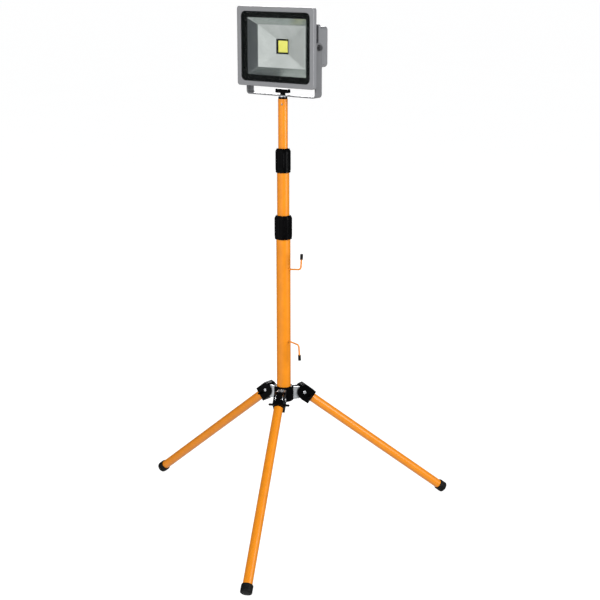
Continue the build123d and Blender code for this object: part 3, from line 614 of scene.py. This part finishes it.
def build_welds():
    for name, (azimuth, height) in HOOK_ROOTS.items():
        add_piece(f"{name}_hook_weld", weld_bead(azimuth, height), FINISHES["orange_powder_coat"],
                  "stand", sharp=80.0)


# ------------------------------------------------------------- floor and light
FLOOR_RADIUS = 60.0


def build_stage():
    """A round floor that the camera sees, but that neither reflects in the stand nor lights it."""
    bpy.ops.mesh.primitive_circle_add(vertices=96, radius=FLOOR_RADIUS, fill_type="NGON")
    floor = bpy.context.object
    floor.name = "studio_floor"
    floor.data.materials.append(floor_finish("pale_floor"))
    floor.visible_glossy = False
    floor.visible_diffuse = False


def area_light(name, place, aim, size, power):
    data = bpy.data.lights.new(name, "AREA")
    data.shape = "RECTANGLE"
    data.size, data.size_y = size
    data.energy = power
    light = bpy.data.objects.new(name, data)
    light.location = place
    light.rotation_euler = (Vector(aim) - Vector(place)).to_track_quat("-Z", "Y").to_euler()
    bpy.context.scene.collection.objects.link(light)


BRIGHT_BEARING = -14.0      # the bright side's middle, in degrees from the lamp's front
BRIGHT_RISE = 2.0
STUDIO_STRENGTH = 1.12
STUDIO_SIDES = [            # from the side away from the bright one, to the bright one's middle
    (0.0, (0.08, 0.085, 0.095)), (0.5, (0.15, 0.155, 0.165)), (0.83, (0.62, 0.62, 0.62)),
    (0.87, (0.80, 0.80, 0.80)), (0.92, (1.0, 1.0, 1.0))]
STUDIO_BELOW = [(0.40, (0.0, 0.0, 0.0)), (0.62, (0.8, 0.8, 0.8))]


def toward(tree, direction):
    """How nearly a ray of light's direction runs along the given one, up to 1."""
    coordinate = tree.nodes.new("ShaderNodeTexCoord")
    facing = tree.nodes.new("ShaderNodeVectorMath")
    facing.operation = "DOT_PRODUCT"
    facing.inputs[1].default_value = direction
    link(tree, coordinate.outputs["Generated"], facing.inputs[0])
    return facing.outputs["Value"]


def white_behind(tree, studio):
    """Show plain white past the floor's far edge, while the studio still does the lighting."""
    path = tree.nodes.new("ShaderNodeLightPath")
    white = tree.nodes.new("ShaderNodeBackground")
    white.inputs["Color"].default_value = (1.0, 1.0, 1.0, 1.0)
    either = tree.nodes.new("ShaderNodeMixShader")
    link(tree, path.outputs["Is Camera Ray"], either.inputs["Fac"])
    link(tree, studio, either.inputs[1])
    link(tree, white.outputs["Background"], either.inputs[2])
    link(tree, either.outputs["Shader"], tree.nodes["World Output"].inputs["Surface"])


def build_world():
    """A dim studio with one broad bright side and a pale floor."""
    world = bpy.data.worlds.new("studio")
    world.use_nodes = True
    tree = world.node_tree
    bearing, rise = math.radians(BRIGHT_BEARING), math.radians(BRIGHT_RISE)
    bright = (math.sin(bearing) * math.cos(rise), -math.cos(bearing) * math.cos(rise), math.sin(rise))
    brighter = tree.nodes.new("ShaderNodeVectorMath")
    brighter.operation = "MAXIMUM"
    link(tree, ramp(tree, toward(tree, bright), STUDIO_SIDES), brighter.inputs[0])
    link(tree, ramp(tree, toward(tree, (0, 0, -1)), STUDIO_BELOW), brighter.inputs[1])
    background = tree.nodes["Background"]
    link(tree, brighter.outputs["Vector"], background.inputs["Color"])
    background.inputs["Strength"].default_value = STUDIO_STRENGTH
    white_behind(tree, background.outputs["Background"])
    bpy.context.scene.world = world


def build_lights():
    build_world()
    area_light("key", (1.1, -3.5, 2.3), (0, 0, 0.7), (1.2, 1.6), 115.0)
    area_light("side", (3.2, 0.5, 1.5), (0, 0, 0.8), (1.5, 2.4), 120.0)
    area_light("back", (-1.8, 2.6, 2.4), (0, 0, 0.8), (1.4, 1.8), 95.0)
    bpy.context.scene.view_settings.view_transform = "Standard"


# ----------------------------------------------------------------------- camera
CAMERA_BEARING = 36.0       # degrees round the mast from the lamp's front
CAMERA_PITCH = 15.02        # degrees down
CAMERA_DISTANCE = 3.002
CAMERA_ASIDE = 0.0396
CAMERA_HEIGHT = 1.364
LENS = 77.4
SENSOR = 36.0


def build_camera():
    data = bpy.data.cameras.new("camera")
    data.sensor_width = SENSOR
    data.lens = LENS
    camera = bpy.data.objects.new("camera", data)
    turn = Matrix.Rotation(math.radians(CAMERA_BEARING), 4, "Z")
    camera.location = turn @ Vector((CAMERA_ASIDE, -CAMERA_DISTANCE, CAMERA_HEIGHT))
    camera.rotation_euler = (math.radians(90 - CAMERA_PITCH), 0, math.radians(CAMERA_BEARING))
    bpy.context.scene.collection.objects.link(camera)
    bpy.context.scene.camera = camera


build_camera()
build_stage()
build_lights()
finish_cad_nodes()
build_lamp_pieces()
build_knob()
build_feet()
build_welds()
